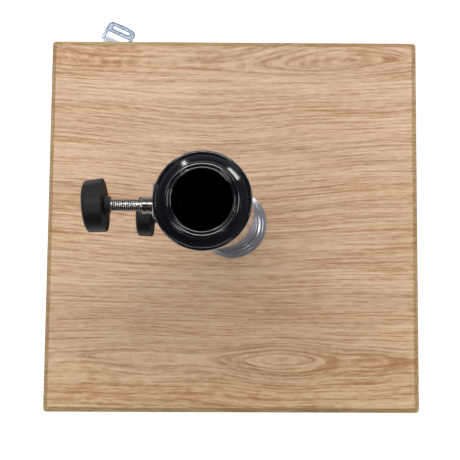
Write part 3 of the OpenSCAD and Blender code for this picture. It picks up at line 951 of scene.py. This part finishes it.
# Stitches: short bars with round ends, in a box of rows across and along the tape
def makeStitches(top):
    shape = stitchShape
    half = tapeShape["width"] / 2 - shape["inset"]
    low, high = shape["start"], strapLength - shape["end"]
    # A hair past the end, so that the last stitch counts
    across = np.arange(-half, half + 1e-6, shape["gap"])
    along = np.arange(low, high + 1e-6, shape["gap"])
    rows = [(x, y, 0) for y in (low, high) for x in across]
    rows += [(x, y, math.pi / 2) for x in (-half, half) for y in along[1:-1]]
    u = np.linspace(0, 2 * np.pi, 6, endpoint=False)
    v = np.linspace(-1, 1, 5)
    fat = np.sqrt(np.clip(1 - v ** 4, 0, 1))[:, None] * shape["thick"]
    bar = np.stack([v[:, None] * shape["length"] / 2 + 0 * u, fat * np.cos(u), fat * np.sin(u)], -1)
    stitches = join("stitches", [
        gridPiece("stitch", onStrap(turnZ(bar, turn) + np.array([x, y, side * (top - shape["sunk"])])))
        for x, y, turn in rows for side in (-1, 1)])
    shadeSmooth(stitches, 80)
    return stitches


eyeletShape = {
    **inMm(wall=2, bead=0.55, edge=0.1, waist=0.3), "outerBead": 0.8, "waistAt": (0.35, 0.5, 0.65)}


# Eyelet: a rolled brass ring, one round bead over each face of the tape
def makeEyelet():
    shape = eyeletShape
    low, high = span("strap_eyelet")
    outer, height = (high[0] - low[0]) / 2, high[2] - low[2]
    bore, bead, edge = outer - shape["wall"], shape["bead"], shape["edge"]
    start, deepest, end = [share * height for share in shape["waistAt"]]
    outerBead = bead * shape["outerBead"]
    profile = filleted([
        (bore, 0, bead), (outer, 0, outerBead), (outer, start, edge),
        (outer - shape["waist"], deepest, edge), (outer, end, edge), (outer, height, outerBead),
        (bore, height, bead)], steps=5)
    eyelet = turned("strapEyelet", profile, count=facets["small"], place=(*swivel[:2], low[2]))
    fit(eyelet, "strap", "eyeletBrass", "strap_eyelet")


buckleShape = {**inMm(
    width=33, bar=4.2, arm=3.1, thick=2.6, slot=3.8, slotLength=21, slotEnd=1.75, opening=6.7,
    openingEdge=1.6, mouth=6, cut=3, pin=1.2, pinEnd=1, armEnd=2.2, armEdge=0.8, corner=5.5, bow=40,
    bulge=0.9, edge=0.95), "droop": 5}


# From the buckle's own frame, with the hinge bar along X, to the row's
def onBuckle(points):
    return onStrap(turnX(points, -math.radians(buckleShape["droop"])) + [0, strapLength, 0])


# An outline stood up into a plate: the same row of points at two heights
def prism(name, half, steps, corners):
    outline = filleted(corners, steps=steps)
    rows = np.stack([np.column_stack([outline, np.full(len(outline), z)]) for z in (-half, half)])
    return gridPiece(name, onBuckle(rows), capped=True)


# Buckle: a plate with a bowed outer edge, a slot, an opening for the tape and rounded
# edges, and a round hinge bar in the tape's loop
def makeBuckle():
    shape = buckleShape
    half, bar, armEnd, corner = shape["width"] / 2, shape["bar"], shape["armEnd"], shape["corner"]
    opening = shape["opening"] + bar / 2
    slotFoot = opening + bar
    slotHead = slotFoot + shape["slot"]
    reach = slotHead + bar
    shoulder = reach - shape["bulge"]
    buckle = prism("buckle", shape["thick"] / 2, 10, [
        (-half, -armEnd, shape["armEdge"]), (half, -armEnd, shape["armEdge"]), (half, shoulder, corner),
        (0, reach, shape["bow"]), (-half, shoulder, corner)])
    slot, end, cut = shape["slotLength"] / 2, shape["slotEnd"], shape["cut"]
    gap = prism("gap", cut, 8, [
        (-slot, slotFoot, end), (slot, slotFoot, end), (slot, slotHead, end), (-slot, slotHead, end)])
    inner, edge = half - shape["arm"], shape["openingEdge"]
    mouth = prism("mouth", cut, 8, [
        (-inner, -shape["mouth"]), (inner, -shape["mouth"]), (inner, opening, edge),
        (-inner, opening, edge)])
    combine(buckle, [gap, mouth])
    rounded = buckle.modifiers.new("roundedEdge", "BEVEL")
    rounded.width, rounded.segments, rounded.limit_method = shape["edge"], 4, "ANGLE"
    rounded.angle_limit = math.radians(50)
    settle(buckle)
    sweep = np.linspace(0, 2 * np.pi, 28, endpoint=False)
    end = inner + shape["pinEnd"]
    across = np.array([-end, 0, end])[:, None]
    pin = np.stack([
        across + 0 * sweep, shape["pin"] * np.cos(sweep) + 0 * across,
        shape["pin"] * np.sin(sweep) + 0 * across], -1)
    combine(buckle, [gridPiece("hingeBar", onBuckle(pin), capped=True)], "UNION")
    shadeSmooth(buckle, 40)
    fit(buckle, "buckle", "buckleZinc", "buckle")


makeTapePiece()
makeEyelet()
makeBuckle()
print("strap and buckle made")


stageLook = {
    "size": 5.0, "drop": 0.0002, "paint": 0.8, "floor": 0.55, "glow": 0.8, "whiteFrom": (0.5, 1.5),
    # Levels from the horizon, 0, to straight overhead, 1
    "sky": [(0.0, 0.3), (0.12, 0.24), (0.35, 0.16), (0.8, 0.1), (1.0, 0.04)], "skyBlue": 1.06,
    "backdrop": [(0.0, 0.85), (0.16, 0.65), (0.36, 0.0)],
    # The side that the room is lighter on, and its level square to that side
    "lightSide": (0.45, 0.4, 0), "sideLevel": 0.75}


# 1 where a surface is seen by the camera, in a mirror finish or through glass
def seenDirectly(tree):
    path = put(tree, "LightPath").outputs
    seen = calc(tree, "ADD", path["Is Camera Ray"], path["Is Glossy Ray"])
    return calc(tree, "ADD", seen, path["Is Transmission Ray"], clamp=True)


def diffuse(tree, level):
    node = put(tree, "BsdfDiffuse")
    node.inputs["Color"].default_value = (level, level, level, 1)
    return node.outputs[0]


# White floor: pale paint for the light that it gives back, and where it is seen
# directly, a glow on top that leaves the object's shadow and is full white far out
def makeFloor():
    look = stageLook
    grid = np.linspace(-look["size"] / 2, look["size"] / 2, 3)
    x, y = np.meshgrid(grid, grid)
    floor = gridPiece("floor", np.stack([x, y, 0 * x - look["drop"]], -1), closeColumns=False)
    material = bpy.data.materials.new("paleFloor")
    material.use_nodes = True
    tree = material.node_tree
    tree.nodes.clear()
    glow = put(tree, "Emission")
    far = vectorCalc(tree, "LENGTH", pointOn(tree))["Value"]
    feed(tree, glow.inputs["Strength"], between(tree, far, *look["whiteFrom"], look["glow"], 1.0))
    seen = feedAll(tree, put(tree, "AddShader"), (diffuse(tree, look["floor"]), glow.outputs[0]))[0]
    choice = put(tree, "MixShader")
    choice = feedAll(tree, choice, (seenDirectly(tree), diffuse(tree, look["paint"]), seen))[0]
    feed(tree, put(tree, "OutputMaterial").inputs[0], choice)
    floor.data.materials.append(material)


# Room: brightest round the horizon, darkest overhead, and lighter towards +X and +Y. The
# camera sees plain white, and so do mirror finishes low down, where a white backdrop is.
def makeRoom():
    look = stageLook
    world = bpy.data.worlds.new("room")
    world.use_nodes = True
    bpy.context.scene.world = world
    tree = world.node_tree
    tree.nodes.clear()
    way = put(tree, "TexCoord").outputs["Generated"]
    rise = splitAxes(tree, way)[2]
    sky = ramp(tree, rise, [(z, (level, level, level * look["skyBlue"])) for z, level in look["sky"]])
    side = vectorCalc(tree, "DOT_PRODUCT", way, look["lightSide"])["Value"]
    side = calc(tree, "ADD", side, look["sideLevel"])
    sky = blendColour(tree, 1.0, sky, side, "MULTIPLY")
    path = put(tree, "LightPath").outputs
    backdrop = ramp(tree, rise, [(z, (level,) * 3) for z, level in look["backdrop"]])
    mirrored = calc(tree, "ADD", path["Is Glossy Ray"], path["Is Transmission Ray"])
    mirrored = calc(tree, "MULTIPLY", times(tree, mirrored, backdrop), side, clamp=True)
    seen = calc(tree, "ADD", path["Is Camera Ray"], mirrored, clamp=True)
    back = put(tree, "Background")
    feed(tree, back.inputs["Color"], blendColour(tree, seen, sky, (1, 1, 1)))
    feed(tree, put(tree, "OutputWorld").inputs[0], back.outputs[0])


# Compass direction and height in degrees, distance, width, height and watts. The cards
# are only seen mirrored, and the wide fill does the lighting and is never mirrored.
softBoxes = {
    "leftCard": (119, 34, 1.5, 0.11, 0.55, 3.6),
    "rightCard": (46, 35, 1.5, 0.46, 0.24, 5.2),
    "sideCard": (0, 61, 1.5, 0.42, 0.16, 5.6),
    "backCard": (219, 62, 1.5, 0.26, 0.14, 3.0),
    "westCard": (150, 64, 1.5, 0.4, 0.08, 1.6),
    "cornerCard": (-58, 62, 1.5, 0.09, 0.1, 0.9),
    "topCard": (98, 71, 1.5, 0.62, 0.24, 10.5),
    "fill": (92, 80, 1.3, 2.0, 2.0, 31.2),
}
lightsAim = Vector((0, 0, 0.3))


def makeLights():
    for name, (compass, rise, distance, width, tall, watts) in softBoxes.items():
        lamp = bpy.data.lights.new(name, "AREA")
        lamp.shape, lamp.size, lamp.size_y, lamp.energy = "RECTANGLE", width, tall, watts
        box = newObject(name, lamp)
        a, e = math.radians(compass), math.radians(rise)
        way = Vector((math.cos(a) * math.cos(e), math.sin(a) * math.cos(e), math.sin(e)))
        box.location = lightsAim + way * distance
        box.rotation_euler = way.to_track_quat("Z", "Y").to_euler()
        box.visible_camera = False
        box.visible_glossy = name != "fill"
        box.visible_diffuse = name == "fill"


cameraSetup = {
    "place": (0.0365, -0.0281, 1.0429), "tilt": (5.34, -0.39, 0.28), "lens": 72.8, "shift": (-0.093, -0.145)}


# Looking almost straight down, a little off the axis
def makeCamera():
    data = bpy.data.cameras.new("camera")
    data.lens, (data.shift_x, data.shift_y) = cameraSetup["lens"], cameraSetup["shift"]
    camera = newObject("camera", data)
    camera.location = cameraSetup["place"]
    camera.rotation_euler = [math.radians(a) for a in cameraSetup["tilt"]]
    bpy.context.scene.camera = camera


makeFloor()
makeRoom()
makeLights()
makeCamera()
bpy.context.scene.view_settings.view_transform = "Standard"
print("stage made")
